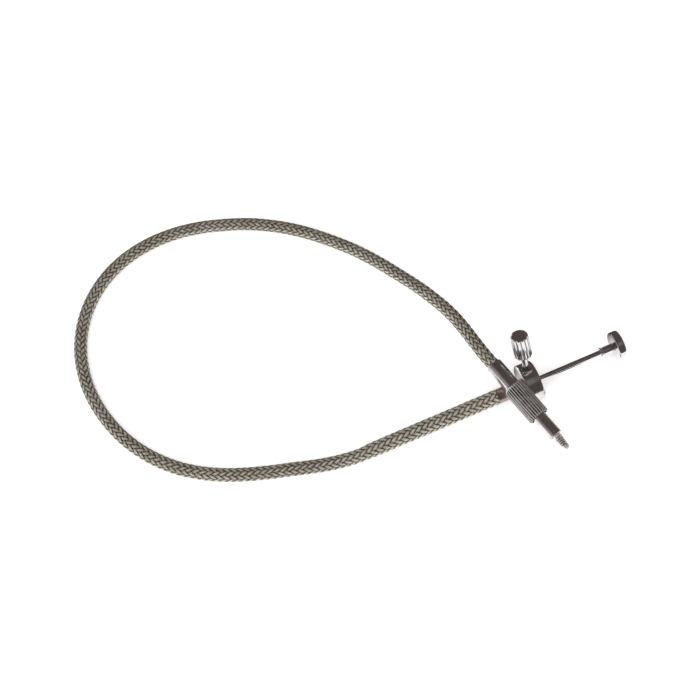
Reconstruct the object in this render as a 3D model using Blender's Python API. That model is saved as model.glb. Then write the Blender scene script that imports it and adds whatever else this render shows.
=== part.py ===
"""Cable shutter release with a braided cable and a thumbscrew that locks the plunger.

The handle lies on its round finger flange. Its braided cable runs in one open loop on the
same surface and comes back to the camera fitting, which lies across the handle's ferrule.

Three frames carry the pieces, each with its own +X along the pieces' common axis:
  handle_frame  the middle of the flange's front face, +X towards the button
  lock_frame    the handle's axis, in the middle of the flange, +X out along the lock screw
  tip_frame     the cable end of the camera fitting, +X towards its threaded tip
Sizes are in millimetres, positions along a piece are measured from its frame, and MM turns
them into metres.
"""

from math import cos, radians, sin, tau

import bmesh
import bpy
from mathutils import Matrix, Vector

MM = 0.001

# Clearances
SLIDE_FIT = 0.08  # radial, between a piece that slides or turns and its bore
PRESS_FIT = 0.04  # radial, between two pieces that are fixed in each other
SEAT = 0.1  # between two faces that rest on each other
CLEAR = 0.3  # at the cable's ends and between loose pieces
CABLE_FIT = 0.15  # round the cable where the camera fitting grips it

# Where the handle and the camera fitting lie
HANDLE_X = 15.7  # front face, which puts the middle of the handle and fitting over the origin
HANDLE_Y = 9.0
HANDLE_TILT = 4.0  # degrees that the plunger points up, with the barrel's end near the surface
CROSSING_BEHIND_FACE = 11.05  # where the fitting crosses the handle, back from the front face
CROSSING_ALONG_TIP = 9.8  # the same point, along the fitting from its cable end
CROSSING_GAP = 1.5  # over the ferrule, because the collar lies on the edge of the flange
TIP_TURN = -74.4  # degrees from the handle to the fitting, seen from above
TIP_DROOP = 2.5  # degrees that the threaded tip points down

# Flange and barrel
FLANGE_RADIUS = 7.75
FLANGE_THICKNESS = 6.0
FLANGE_EDGE = 0.35
BARREL_RADIUS = 2.1
BARREL_BORE = 1.45
BARREL_LENGTH = 66.0
GUIDE_LENGTH = 5.2
GUIDE_LIP_RADIUS = 1.9
GUIDE_LIP_THICKNESS = 0.35
FERRULE_WALL = 0.66
FERRULE_RADIUS = BARREL_RADIUS + PRESS_FIT + FERRULE_WALL
FERRULE_LENGTH = 10.7
FERRULE_LET_IN = 0.5  # how deep its end sits in the flange
FERRULE_EDGE = 0.2

# Cable: a braid over a wound steel casing, with the drive wire inside
CABLE_RADIUS = 2.4
BARREL_BRAID_RADIUS = 2.75  # the braid is wider where it covers the barrel
CASING_BORE = 0.6
CASING_IN_BARREL = 14.0
WIRE_RADIUS = 0.45
WIRE_END_GAP = 1.5  # left between the end of the drive wire and the cable at full travel

# Plunger
TRAVEL = 17.5
ROD_RADIUS = 1.0
ROD_BEHIND_FACE = 8.6
ROD_IN_BUTTON = 1.5
BUTTON_RADIUS = 5.55
BUTTON_THICKNESS = 3.1
BUTTON_REAR = 31.2  # the side that faces the flange, from the front face
BUTTON_EDGE = 0.6
BUTTON_REAR_EDGE = 0.3
BUTTON_DISH_RADIUS = 3.9
BUTTON_DISH_SLOPE = 0.3
BUTTON_DISH_DEPTH = 0.25
BOSS_RADIUS = 1.6
BOSS_LENGTH = 4.3
BOSS_GROOVE_RADIUS = 1.35
BOSS_GROOVE_WIDTH = 0.4
BOSS_RIM_RADIUS = 1.8
BOSS_RIM_WIDTH = 0.6
ROD_STOP_LENGTH = 1.5
SOCKET_RADIUS = 1.25
SOCKET_LENGTH = 5.6

# Return spring, round the drive wire in the barrel
SPRING_COIL_RADIUS = 1.05
SPRING_WIRE_RADIUS = 0.17
SPRING_TURNS = 16
POINTS_A_TURN = 8

# Lock screw, measured out from the handle's axis
LOCK_LEAN = 27.0  # degrees from upright, to the left of someone looking along the plunger
SCREW_RADIUS = 1.2
SCREW_BORE_DEPTH = 0.8
SCREW_BORE_RADIUS = 2.1
KNOB_FOOT = 14.2
KNOB_LENGTH = 10.1
KNOB_RADIUS = 3.3
KNOB_FLUTES = 12
KNOB_FLUTE_DEPTH = 0.38
KNOB_EDGE = 0.7
KNOB_FOOT_EDGE = 0.3
SCREW_IN_KNOB = 6.0
PAD_RADIUS = 0.9
PAD_LENGTH = 1.5
PAD_STROKE = 0.75  # 1.5 turns of a thread of 0.5 mm pitch
PAD_GAP = 0.05  # left between the pad and the rod when the screw is home

# Camera fitting, measured from its cable end
SLEEVE_RADIUS = 3.05
SLEEVE_LENGTH = 10.7
SLEEVE_ROUND = 0.4
SLEEVE_EDGE = 0.2
CABLE_IN_SLEEVE = 5.0
CASING_HOLE = 1.45
JOURNAL_RADIUS = 2.2
JOURNAL_LENGTH = 3.8
COLLAR_RADIUS = 4.05
COLLAR_LENGTH = 14.7
COLLAR_FLUTES = 26
COLLAR_FLUTE_DEPTH = 0.32
COLLAR_EDGE = 0.45
COLLAR_LIP = 1.5
COLLAR_WALL = 0.9
RING_RADIUS = 3.0
RING_WIDTH = 1.1
NOSE_RADIUS = 2.6
NOSE_LENGTH = 9.2  # in front of the collar
NOSE_SET_BACK = 0.8  # its wide end, from the collar's front
NOSE_EDGE = 0.2
NOSE_RECESS_RADIUS = 1.95  # round the root of the thread
NOSE_RECESS_DEPTH = 0.3
NOSE_BORE = 1.75
SHANK_RADIUS = 1.31
NECK_RADIUS = 1.5
NECK_LENGTH = 0.8
CONE_ROOT_RADIUS = 1.88
CONE_END_RADIUS = 1.38
CONE_LENGTH = 4.7
CONE_END_ROUND = 0.8
THREAD_PITCH = 0.8
THREAD_DEPTH = 0.26
RINGS_A_PITCH = 5
PIN_RADIUS = 0.75
PIN_RECESS = 3.0
PIN_HEAD_LENGTH = 1.2
WIRE_IN_HEAD = 0.6

# Facets
LARGE_SIDES = 48
MEDIUM_SIDES = 32
SMALL_SIDES = 24
FLUTE_POINTS = 4
CABLE_SIDES = 8
SPRING_SIDES = 6
CABLE_POINT_SPACING = 11.0
CURVE_SAMPLES = 24
WELD = 1e-7
SHARP_ANGLE = radians(35)

# The free cable's own line between its straight ends, in metres
CABLE_ROUTE = [
    (-0.0644, 0.0100, 0.00278),
    (-0.0724, 0.0118, 0.00258),
    (-0.0801, 0.0139, 0.00252),
    (-0.0875, 0.0159, 0.00252),
    (-0.0952, 0.0183, 0.00252),
    (-0.1031, 0.0214, 0.00252),
    (-0.1113, 0.0258, 0.00252),
    (-0.1193, 0.0319, 0.00252),
    (-0.1266, 0.0402, 0.00252),
    (-0.1324, 0.0504, 0.00252),
    (-0.1361, 0.0624, 0.00252),
    (-0.1371, 0.0755, 0.00252),
    (-0.1347, 0.0888, 0.00252),
    (-0.1287, 0.1009, 0.00252),
    (-0.1197, 0.1106, 0.00252),
    (-0.1087, 0.1172, 0.00252),
    (-0.0970, 0.1205, 0.00252),
    (-0.0857, 0.1211, 0.00252),
    (-0.0752, 0.1197, 0.00252),
    (-0.0659, 0.1171, 0.00252),
    (-0.0574, 0.1139, 0.00253),
    (-0.0498, 0.1099, 0.00257),
    (-0.0428, 0.1052, 0.00275),
    (-0.0364, 0.0997, 0.00322),
    (-0.0305, 0.0933, 0.00428),
    (-0.0247, 0.0860, 0.00575),
    (-0.0193, 0.0774, 0.00770),
    (-0.0141, 0.0674, 0.01010),
    (-0.0085, 0.0555, 0.01282),
    (-0.0035, 0.0414, 0.01504),
]
STRAIGHT_AT_BARREL = 6.0
STRAIGHT_AT_SLEEVE = 6.0

# Finishes: base colour, metallic, roughness
CHROME = ((0.60, 0.59, 0.57), 1.0, 0.12)
NICKEL = ((0.52, 0.49, 0.45), 1.0, 0.2)
STEEL = ((0.42, 0.41, 0.40), 1.0, 0.3)
BRASS = ((0.62, 0.47, 0.20), 1.0, 0.3)
BRAID = ((0.34, 0.31, 0.25), 0.8, 0.45)


def clear_scene():
    for obj in list(bpy.data.objects):
        bpy.data.objects.remove(obj, do_unlink=True)


def add_frame(name, origin, axes, parent=None):
    """An empty at origin, in metres, whose local axes are the columns given."""
    frame = bpy.data.objects.new(name, None)
    frame.empty_display_size = 5 * MM
    bpy.context.scene.collection.objects.link(frame)
    frame.parent = parent
    frame.matrix_local = Matrix.Translation(origin) @ Matrix(axes).transposed().to_4x4()
    return frame


def add_material(name, finish):
    colour, metallic, roughness = finish
    material = bpy.data.materials.new(name)
    material.use_nodes = True
    shader = material.node_tree.nodes["Principled BSDF"]
    shader.inputs["Base Color"].default_value = (*colour, 1.0)
    shader.inputs["Metallic"].default_value = metallic
    shader.inputs["Roughness"].default_value = roughness
    return material


def add_object(name, data, parent, finish):
    obj = bpy.data.objects.new(name, data)
    bpy.context.scene.collection.objects.link(obj)
    obj.parent = parent
    if finish:
        data.materials.append(add_material(name, finish))
    return obj


def add_mesh(name, bm, parent, finish):
    bmesh.ops.recalc_face_normals(bm, faces=bm.faces)
    mesh = bpy.data.meshes.new(name)
    bm.to_mesh(mesh)
    bm.free()
    mesh.shade_smooth()
    mesh.set_sharp_from_angle(angle=SHARP_ANGLE)
    return add_object(name, mesh, parent, finish)


def turn(name, profile, parent, finish, sides=SMALL_SIDES):
    """A turned piece: profile is its half section, (along, radius) points in millimetres. It
    goes all the way round a bored piece, and from axis to axis on a solid one."""
    bm = bmesh.new()
    points = [bm.verts.new((along * MM, 0, radius * MM)) for along, radius in profile]
    edges = [bm.edges.new(pair) for pair in zip(points, points[1:])]
    if all(radius > 0 for _, radius in profile):
        edges.append(bm.edges.new((points[-1], points[0])))
    bmesh.ops.spin(
        bm,
        geom=points + edges,
        cent=(0, 0, 0),
        axis=(1, 0, 0),
        angle=tau,
        steps=sides,
        use_merge=True,
    )
    bmesh.ops.remove_doubles(bm, verts=bm.verts, dist=WELD)
    return add_mesh(name, bm, parent, finish)


def tube(start, end, outer, inner):
    return [(start, inner), (start, outer), (end, outer), (end, inner)]


def rod(start, end, radius):
    return [(start, 0), (start, radius), (end, radius), (end, 0)]


def loft(name, rings, parent, finish, bored=False):
    """A piece with the given rings of points, in millimetres, as its cross sections. The last
    ring of a bored piece joins its first, and a solid piece is closed at both ends."""
    bm = bmesh.new()
    loops = [[bm.verts.new(Vector(point) * MM) for point in ring] for ring in rings]
    pairs = list(zip(loops, loops[1:]))
    if bored:
        pairs.append((loops[-1], loops[0]))
    else:
        bm.faces.new(loops[0])
        bm.faces.new(loops[-1])
    for near, far in pairs:
        for i, j in zip(range(len(near)), [*range(1, len(near)), 0]):
            bm.faces.new((near[i], near[j], far[j], far[i]))
    return add_mesh(name, bm, parent, finish)


def ring(along, radius_at, count):
    """count points round the axis; radius_at gives the radius from a point's number."""
    points = []
    for i in range(count):
        angle = tau * i / count
        radius = radius_at(i)
        points.append((along, radius * cos(angle), radius * sin(angle)))
    return points


def fluted_ring(along, radius, depth, flutes):
    """A ring of equal ridges and grooves, with depth 0 where the flutes have run out."""

    def radius_at(i):
        on_ridge = i % FLUTE_POINTS < FLUTE_POINTS / 2
        return radius if on_ridge else radius - depth

    return ring(along, radius_at, flutes * FLUTE_POINTS)


def cut(obj, profile, frame, sides=SMALL_SIDES):
    """Cuts a turned hole out of obj. frame is what the profile is measured from."""
    cutter = turn(obj.name + "_cutter", profile, frame, None, sides)
    cutter.hide_render = True
    cutter.display_type = "WIRE"
    boolean = obj.modifiers.new("bore", "BOOLEAN")
    boolean.operation = "DIFFERENCE"
    boolean.solver = "EXACT"
    boolean.object = cutter


def add_tube_along(name, points, radius, sides, parent, finish):
    """A closed tube that follows points, given in metres in the parent's frame."""
    curve = bpy.data.curves.new(name, "CURVE")
    curve.dimensions = "3D"
    curve.bevel_depth = radius * MM
    curve.bevel_resolution = sides // 2 - 2
    curve.use_fill_caps = True
    spline = curve.splines.new("POLY")
    spline.points.add(len(points) - 1)
    for spline_point, point in zip(spline.points, points):
        spline_point.co = (*point, 1.0)
    return add_object(name, curve, parent, finish)


def smooth_line(points, spacing):
    """Evenly spaced points on a smooth curve through the given points."""
    points = [Vector(p) for p in points]
    before = 2 * points[0] - points[1]
    after = 2 * points[-1] - points[-2]
    padded = [before, *points, after]
    dense = []
    for p0, p1, p2, p3 in zip(padded, padded[1:], padded[2:], padded[3:]):
        for k in range(CURVE_SAMPLES):
            t = k / CURVE_SAMPLES
            a = 2 * p1
            b = p2 - p0
            c = 2 * p0 - 5 * p1 + 4 * p2 - p3
            d = 3 * p1 - p0 - 3 * p2 + p3
            dense.append((a + b * t + c * t**2 + d * t**3) / 2)
    dense.append(points[-1])
    reach = [0.0]
    for p, q in zip(dense, dense[1:]):
        reach.append(reach[-1] + (q - p).length)
    count = round(reach[-1] / spacing)
    line = []
    k = 0
    for n in range(count + 1):
        wanted = reach[-1] * n / count
        while k < len(reach) - 2 and reach[k + 1] < wanted:
            k += 1
        share = (wanted - reach[k]) / (reach[k + 1] - reach[k])
        line.append(dense[k].lerp(dense[k + 1], share))
    return line, reach[-1]


def make_frames():
    """The three frames. The flange's rim touches the surface at z = 0."""
    tilt = radians(HANDLE_TILT)
    height = FLANGE_RADIUS * cos(tilt) + (FLANGE_THICKNESS - FLANGE_EDGE) * sin(tilt)
    along = Vector((cos(tilt), 0, sin(tilt)))
    left = Vector((0, 1, 0))
    up = along.cross(left)
    origin = Vector((HANDLE_X, HANDLE_Y, height)) * MM
    handle = add_frame("handle_frame", origin, (along, left, up))

    lean = radians(LOCK_LEAN)
    lock_axis = Vector((0, sin(lean), cos(lean)))
    lock_side = Vector((1, 0, 0))
    lock_origin = Vector((-FLANGE_THICKNESS / 2, 0, 0)) * MM
    lock_axes = (lock_axis, lock_side, lock_axis.cross(lock_side))
    lock = add_frame("lock_frame", lock_origin, lock_axes, handle)

    heading = radians(TIP_TURN)
    droop = radians(TIP_DROOP)
    tip_axis = Vector((cos(heading) * cos(droop), sin(heading) * cos(droop), -sin(droop)))
    apart = tip_axis.cross(along).normalized()
    apart *= (FERRULE_RADIUS + COLLAR_RADIUS + CROSSING_GAP) * MM
    crossing = origin - along * CROSSING_BEHIND_FACE * MM + apart
    tip_origin = crossing - tip_axis * CROSSING_ALONG_TIP * MM
    tip_side = Vector((0, 0, 1)).cross(tip_axis).normalized()
    tip_axes = (tip_axis, tip_side, tip_axis.cross(tip_side))
    tip = add_frame("tip_frame", tip_origin, tip_axes)
    return handle, lock, tip


def make_flange(frame, lock):
    bore = BARREL_RADIUS + PRESS_FIT
    rear = -FLANGE_THICKNESS
    seat = FERRULE_RADIUS + PRESS_FIT
    profile = [
        (0, bore),
        (0, FLANGE_RADIUS - FLANGE_EDGE),
        (-FLANGE_EDGE, FLANGE_RADIUS),
        (rear + FLANGE_EDGE, FLANGE_RADIUS),
        (rear, FLANGE_RADIUS - FLANGE_EDGE),
        (rear, seat),
        (rear + FERRULE_LET_IN, seat),
        (rear + FERRULE_LET_IN, bore),
    ]
    flange = turn("finger_flange", profile, frame, CHROME, LARGE_SIDES)
    hole = SCREW_RADIUS + SLIDE_FIT
    shoulder = FLANGE_RADIUS - SCREW_BORE_DEPTH
    outside = FLANGE_RADIUS + 1
    screw_hole = [
        (0, 0),
        (0, hole),
        (shoulder, hole),
        (shoulder, SCREW_BORE_RADIUS),
        (outside, SCREW_BORE_RADIUS),
        (outside, 0),
    ]
    cut(flange, screw_hole, lock)


def make_barrel(frame, lock):
    pad_hole = rod(0, FLANGE_RADIUS, PAD_RADIUS + SLIDE_FIT)
    profile = tube(-BARREL_LENGTH, 0, BARREL_RADIUS, BARREL_BORE)
    barrel = turn("handle_barrel", profile, frame, STEEL)
    cut(barrel, pad_hole, lock)

    outer = BARREL_BORE - PRESS_FIT
    bore = ROD_RADIUS + SLIDE_FIT
    lip = SEAT + GUIDE_LIP_THICKNESS
    profile = [
        (-GUIDE_LENGTH, bore),
        (-GUIDE_LENGTH, outer),
        (SEAT, outer),
        (SEAT, GUIDE_LIP_RADIUS),
        (lip, GUIDE_LIP_RADIUS),
        (lip, bore),
    ]
    guide = turn("rod_guide", profile, frame, BRASS)
    cut(guide, pad_hole, lock)


def make_ferrule_and_braid(frame):
    front = -(FLANGE_THICKNESS - FERRULE_LET_IN + SEAT)
    rear = front - FERRULE_LENGTH
    bore = BARREL_RADIUS + PRESS_FIT
    profile = [
        (front, bore),
        (front, FERRULE_RADIUS),
        (rear + FERRULE_EDGE, FERRULE_RADIUS),
        (rear, FERRULE_RADIUS - FERRULE_EDGE),
        (rear, bore),
    ]
    turn("handle_ferrule", profile, frame, CHROME, MEDIUM_SIDES)
    braid = tube(-BARREL_LENGTH, rear - CLEAR, BARREL_BRAID_RADIUS, BARREL_RADIUS + SEAT)
    turn("sheath_over_barrel", braid, frame, BRAID)


def make_plunger(frame):
    """The pieces that slide with the button, with the rod's stop against the guide's end."""
    button_face = BUTTON_REAR + BUTTON_THICKNESS
    dish = button_face - BUTTON_DISH_DEPTH
    rod_end = BUTTON_REAR + ROD_IN_BUTTON
    grip = ROD_RADIUS + PRESS_FIT
    profile = [
        (rod_end + SEAT, 0),
        (rod_end + SEAT, grip),
        (BUTTON_REAR, grip),
        (BUTTON_REAR, BUTTON_RADIUS - BUTTON_REAR_EDGE),
        (BUTTON_REAR + BUTTON_REAR_EDGE, BUTTON_RADIUS),
        (button_face - BUTTON_EDGE, BUTTON_RADIUS),
        (button_face - BUTTON_EDGE / 4, BUTTON_RADIUS - BUTTON_EDGE / 4),
        (button_face, BUTTON_RADIUS - BUTTON_EDGE),
        (button_face, BUTTON_DISH_RADIUS),
        (dish, BUTTON_DISH_RADIUS - BUTTON_DISH_SLOPE),
        (dish, 0),
    ]
    turn("plunger_button", profile, frame, CHROME, LARGE_SIDES)

    boss_end = BUTTON_REAR - SEAT
    groove_end = boss_end - BOSS_LENGTH
    rim_end = groove_end - BOSS_GROOVE_WIDTH
    rim_start = rim_end - BOSS_RIM_WIDTH
    profile = [
        (rim_start, grip),
        (rim_start, BOSS_RIM_RADIUS),
        (rim_end, BOSS_RIM_RADIUS),
        (rim_end, BOSS_GROOVE_RADIUS),
        (groove_end, BOSS_GROOVE_RADIUS),
        (groove_end, BOSS_RADIUS),
        (boss_end, BOSS_RADIUS),
        (boss_end, grip),
    ]
    turn("plunger_boss", profile, frame, CHROME, SMALL_SIDES)
    turn("plunger_rod", rod(-ROD_BEHIND_FACE, rod_end, ROD_RADIUS), frame, STEEL)

    stop_front = -(GUIDE_LENGTH + SEAT)
    stop_rear = stop_front - ROD_STOP_LENGTH
    stop = tube(stop_rear, stop_front, BARREL_BORE - SLIDE_FIT, grip)
    turn("rod_stop", stop, frame, BRASS)

    socket_front = stop_rear - SEAT
    socket_rear = socket_front - SOCKET_LENGTH
    wire_grip = WIRE_RADIUS + PRESS_FIT
    wire_front = -(ROD_BEHIND_FACE + SEAT)
    profile = [
        (socket_front, grip),
        (socket_front, SOCKET_RADIUS),
        (socket_rear, SOCKET_RADIUS),
        (socket_rear, wire_grip),
        (wire_front, wire_grip),
        (wire_front, grip),
    ]
    turn("wire_socket", profile, frame, STEEL)
    wire_rear = -(BARREL_LENGTH - TRAVEL - WIRE_END_GAP)
    drive_wire = rod(wire_rear, wire_front - SEAT, WIRE_RADIUS)
    turn("drive_wire_handle", drive_wire, frame, STEEL)
    return socket_rear


def make_casing_and_spring(frame, socket_rear):
    """The casing's end in the barrel, and the spring between it and the wire's socket."""
    casing_front = -(BARREL_LENGTH - CASING_IN_BARREL)
    casing = tube(-BARREL_LENGTH, casing_front, BARREL_BORE - PRESS_FIT, CASING_BORE)
    turn("casing_end_handle", casing, frame, STEEL)

    start = casing_front + SEAT + SPRING_WIRE_RADIUS
    end = socket_rear - SEAT - SPRING_WIRE_RADIUS
    count = SPRING_TURNS * POINTS_A_TURN
    points = []
    for i in range(count + 1):
        angle = tau * i / POINTS_A_TURN
        along = start + (end - start) * i / count
        side = (SPRING_COIL_RADIUS * cos(angle), SPRING_COIL_RADIUS * sin(angle))
        points.append(Vector((along, *side)) * MM)
    add_tube_along("return_spring", points, SPRING_WIRE_RADIUS, SPRING_SIDES, frame, STEEL)
    apart = min((points[i + POINTS_A_TURN] - points[i]).length for i in range(POINTS_A_TURN))
    gap = apart / MM - 2 * SPRING_WIRE_RADIUS
    print(f"return_spring: least gap to itself {gap:.2f} mm")


def make_lock(frame):
    """The thumbscrew and its pad, backed off from the rod by the pad's stroke."""
    pad_start = ROD_RADIUS + PAD_GAP + PAD_STROKE
    pad_end = pad_start + PAD_LENGTH
    turn("lock_pad", rod(pad_start, pad_end, PAD_RADIUS), frame, BRASS)
    screw_end = KNOB_FOOT + SCREW_IN_KNOB
    turn("lock_screw", rod(pad_end + SEAT, screw_end, SCREW_RADIUS), frame, CHROME)

    top = KNOB_FOOT + KNOB_LENGTH
    root = KNOB_RADIUS - KNOB_FLUTE_DEPTH
    stations = [
        (KNOB_FOOT, root, 0),
        (KNOB_FOOT + KNOB_FOOT_EDGE, KNOB_RADIUS, KNOB_FLUTE_DEPTH),
        (top - KNOB_EDGE, KNOB_RADIUS, KNOB_FLUTE_DEPTH),
        (top - KNOB_EDGE / 2, root - KNOB_EDGE / 6, 0),
        (top, root - KNOB_EDGE, 0),
    ]
    rings = [fluted_ring(*station, KNOB_FLUTES) for station in stations]
    knob = loft("lock_knob", rings, frame, CHROME)
    bore = rod(KNOB_FOOT - 1, screw_end + SEAT, SCREW_RADIUS + PRESS_FIT)
    cut(knob, bore, frame)


def make_sleeve(frame):
    """The plain sleeve that grips the cable, with the journal that the collar turns on."""
    mouth = CABLE_RADIUS + CABLE_FIT
    journal_end = SLEEVE_LENGTH + JOURNAL_LENGTH
    profile = [
        (0, mouth),
        (0, SLEEVE_RADIUS - SLEEVE_ROUND / 2),
        (SLEEVE_ROUND, SLEEVE_RADIUS),
        (SLEEVE_LENGTH - SLEEVE_EDGE, SLEEVE_RADIUS),
        (SLEEVE_LENGTH, SLEEVE_RADIUS - SLEEVE_EDGE),
        (SLEEVE_LENGTH, JOURNAL_RADIUS),
        (journal_end, JOURNAL_RADIUS),
        (journal_end, CASING_HOLE),
        (CABLE_IN_SLEEVE, CASING_HOLE),
        (CABLE_IN_SLEEVE, mouth),
    ]
    turn("rear_sleeve", profile, frame, NICKEL, MEDIUM_SIDES)
    ring_start = SLEEVE_LENGTH + SEAT + COLLAR_LIP + SEAT
    keeper = tube(ring_start, ring_start + RING_WIDTH, RING_RADIUS, JOURNAL_RADIUS + PRESS_FIT)
    turn("swivel_ring", keeper, frame, BRASS)
    casing = tube(CABLE_IN_SLEEVE + SEAT, journal_end - SEAT, CASING_HOLE - PRESS_FIT, CASING_BORE)
    turn("casing_end_tip", casing, frame, STEEL)


def make_collar(frame):
    """The fluted collar that turns the tip into the camera."""
    start = SLEEVE_LENGTH + SEAT
    end = start + COLLAR_LENGTH
    root = COLLAR_RADIUS - COLLAR_FLUTE_DEPTH
    stations = [
        (start, COLLAR_RADIUS - COLLAR_EDGE, 0),
        (start + COLLAR_EDGE, root, 0),
        (start + 2 * COLLAR_EDGE, COLLAR_RADIUS, COLLAR_FLUTE_DEPTH),
        (end - COLLAR_EDGE, COLLAR_RADIUS, COLLAR_FLUTE_DEPTH),
        (end, COLLAR_RADIUS - COLLAR_EDGE, 0),
    ]
    rings = [fluted_ring(*station, COLLAR_FLUTES) for station in stations]
    collar = loft("knurled_collar", rings, frame, NICKEL)
    lip_bore = JOURNAL_RADIUS + SLIDE_FIT
    lip_end = start + COLLAR_LIP
    chamber = COLLAR_RADIUS - COLLAR_WALL
    bore = [
        (start - 1, 0),
        (start - 1, lip_bore),
        (lip_end, lip_bore),
        (lip_end, chamber),
        (end + 1, chamber),
        (end + 1, 0),
    ]
    cut(collar, bore, frame, MEDIUM_SIDES)
    return chamber


def make_nose(frame, chamber, head_front):
    """The plain nose, pressed into the collar, with the bore that the pin's head slides in."""
    start = SLEEVE_LENGTH + JOURNAL_LENGTH + CLEAR
    end = SLEEVE_LENGTH + COLLAR_LENGTH + NOSE_LENGTH
    shoulder = end - NOSE_LENGTH - NOSE_SET_BACK
    bore_end = head_front + TRAVEL + SEAT
    hole = SHANK_RADIUS + PRESS_FIT
    profile = [
        (start, NOSE_BORE),
        (start, chamber - PRESS_FIT),
        (shoulder, chamber - PRESS_FIT),
        (shoulder, NOSE_RADIUS),
        (end - NOSE_EDGE, NOSE_RADIUS),
        (end, NOSE_RADIUS - NOSE_EDGE),
        (end, NOSE_RECESS_RADIUS),
        (end - NOSE_RECESS_DEPTH, NOSE_RECESS_RADIUS),
        (end - NOSE_RECESS_DEPTH, hole),
        (bore_end, hole),
        (bore_end, NOSE_BORE),
    ]
    turn("tip_nose", profile, frame, NICKEL, MEDIUM_SIDES)
    return end, bore_end


def make_threaded_tip(frame, nose_end, bore_end):
    """The conical tip with its helical thread, which fades out at both ends."""
    neck = nose_end - NOSE_RECESS_DEPTH + SEAT
    cone = neck + NECK_LENGTH
    cone_end = cone + CONE_LENGTH
    tip_end = cone_end + CONE_END_ROUND
    bore = PIN_RADIUS + SLIDE_FIT

    def plain(along, radius):
        return ring(along, lambda i: radius, SMALL_SIDES)

    def threaded(along):
        share = (along - cone) / CONE_LENGTH
        crest = CONE_ROOT_RADIUS + (CONE_END_RADIUS - CONE_ROOT_RADIUS) * share
        fade = min(1, 4 * share, 4 * (1 - share))

        def radius_at(i):
            phase = (along - cone) / THREAD_PITCH - i / SMALL_SIDES
            return crest - THREAD_DEPTH * fade * (1 - cos(tau * phase)) / 2

        return ring(along, radius_at, SMALL_SIDES)

    steps = round(CONE_LENGTH / THREAD_PITCH * RINGS_A_PITCH)
    rings = [
        plain(bore_end + SEAT, SHANK_RADIUS),
        plain(neck, SHANK_RADIUS),
        plain(neck, NECK_RADIUS),
        plain(cone, NECK_RADIUS),
        *(threaded(cone + CONE_LENGTH * k / steps) for k in range(steps + 1)),
        plain(cone_end + CONE_END_ROUND / 2, CONE_END_RADIUS - CONE_END_ROUND / 8),
        plain(tip_end, CONE_END_RADIUS - CONE_END_ROUND / 2),
        plain(tip_end, bore),
        plain(bore_end + SEAT, bore),
    ]
    loft("threaded_tip", rings, frame, NICKEL, bored=True)
    return tip_end


def make_pin(frame, head_rear, head_front, tip_end):
    """The pin that works the shutter, its head, and the end of the drive wire."""
    wire_front = head_rear + WIRE_IN_HEAD
    wire_grip = WIRE_RADIUS + PRESS_FIT
    pin_grip = PIN_RADIUS + PRESS_FIT
    profile = [
        (head_rear, wire_grip),
        (head_rear, NOSE_BORE - SLIDE_FIT),
        (head_front, NOSE_BORE - SLIDE_FIT),
        (head_front, pin_grip),
        (wire_front, pin_grip),
        (wire_front, wire_grip),
    ]
    turn("pin_head", profile, frame, BRASS)
    turn("release_pin", rod(wire_front + SEAT, tip_end - PIN_RECESS, PIN_RADIUS), frame, STEEL)
    wire_rear = CABLE_IN_SLEEVE + 2 * SEAT
    turn("drive_wire_tip", rod(wire_rear, wire_front, WIRE_RADIUS), frame, STEEL)


def make_cable(handle, tip):
    """The free cable, straight at both ends, from the barrel to the inside of the sleeve."""
    start = -(BARREL_LENGTH + CLEAR)
    end = CABLE_IN_SLEEVE - CLEAR
    at_barrel = [handle.matrix_world @ Vector((a * MM, 0, 0)) for a in (start, start - STRAIGHT_AT_BARREL)]
    at_sleeve = [tip.matrix_world @ Vector((a * MM, 0, 0)) for a in (-STRAIGHT_AT_SLEEVE, 0, end)]
    line, length = smooth_line(at_barrel + CABLE_ROUTE + at_sleeve, CABLE_POINT_SPACING * MM)
    add_tube_along("cable_sheath", line, CABLE_RADIUS, CABLE_SIDES, None, BRAID)
    print(f"cable_sheath: {length / MM:.1f} mm long")


def make_release():
    clear_scene()
    handle, lock, tip = make_frames()
    bpy.context.view_layer.update()

    make_flange(handle, lock)
    make_barrel(handle, lock)
    make_ferrule_and_braid(handle)
    socket_rear = make_plunger(handle)
    make_casing_and_spring(handle, socket_rear)
    make_lock(lock)

    head_rear = SLEEVE_LENGTH + JOURNAL_LENGTH + 2 * SEAT
    head_front = head_rear + PIN_HEAD_LENGTH
    make_sleeve(tip)
    chamber = make_collar(tip)
    nose_end, bore_end = make_nose(tip, chamber, head_front)
    tip_end = make_threaded_tip(tip, nose_end, bore_end)
    make_pin(tip, head_rear, head_front, tip_end)
    make_cable(handle, tip)


make_release()
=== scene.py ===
"""Cable shutter release, dressed for the photograph's view.

The camera comes first, then the woven cable, the metal pieces and their finishes, and last
the floor and the light. Everything is in metres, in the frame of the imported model.
"""

from math import atan, cos, pi, radians, sin, tau

import bmesh
import bpy
import numpy as np
from mathutils import Matrix, Vector


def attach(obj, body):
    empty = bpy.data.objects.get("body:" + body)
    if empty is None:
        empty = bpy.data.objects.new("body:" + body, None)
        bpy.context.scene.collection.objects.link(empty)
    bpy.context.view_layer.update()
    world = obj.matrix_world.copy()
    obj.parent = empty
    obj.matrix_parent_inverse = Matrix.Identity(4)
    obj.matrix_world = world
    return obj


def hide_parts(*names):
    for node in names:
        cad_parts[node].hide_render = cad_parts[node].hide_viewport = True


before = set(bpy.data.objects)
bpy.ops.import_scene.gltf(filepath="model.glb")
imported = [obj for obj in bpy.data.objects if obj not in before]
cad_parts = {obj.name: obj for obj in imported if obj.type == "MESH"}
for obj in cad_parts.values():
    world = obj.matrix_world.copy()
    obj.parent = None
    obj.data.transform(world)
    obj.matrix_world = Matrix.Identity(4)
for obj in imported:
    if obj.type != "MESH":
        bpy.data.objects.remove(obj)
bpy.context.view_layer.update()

MM = 0.001

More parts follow.
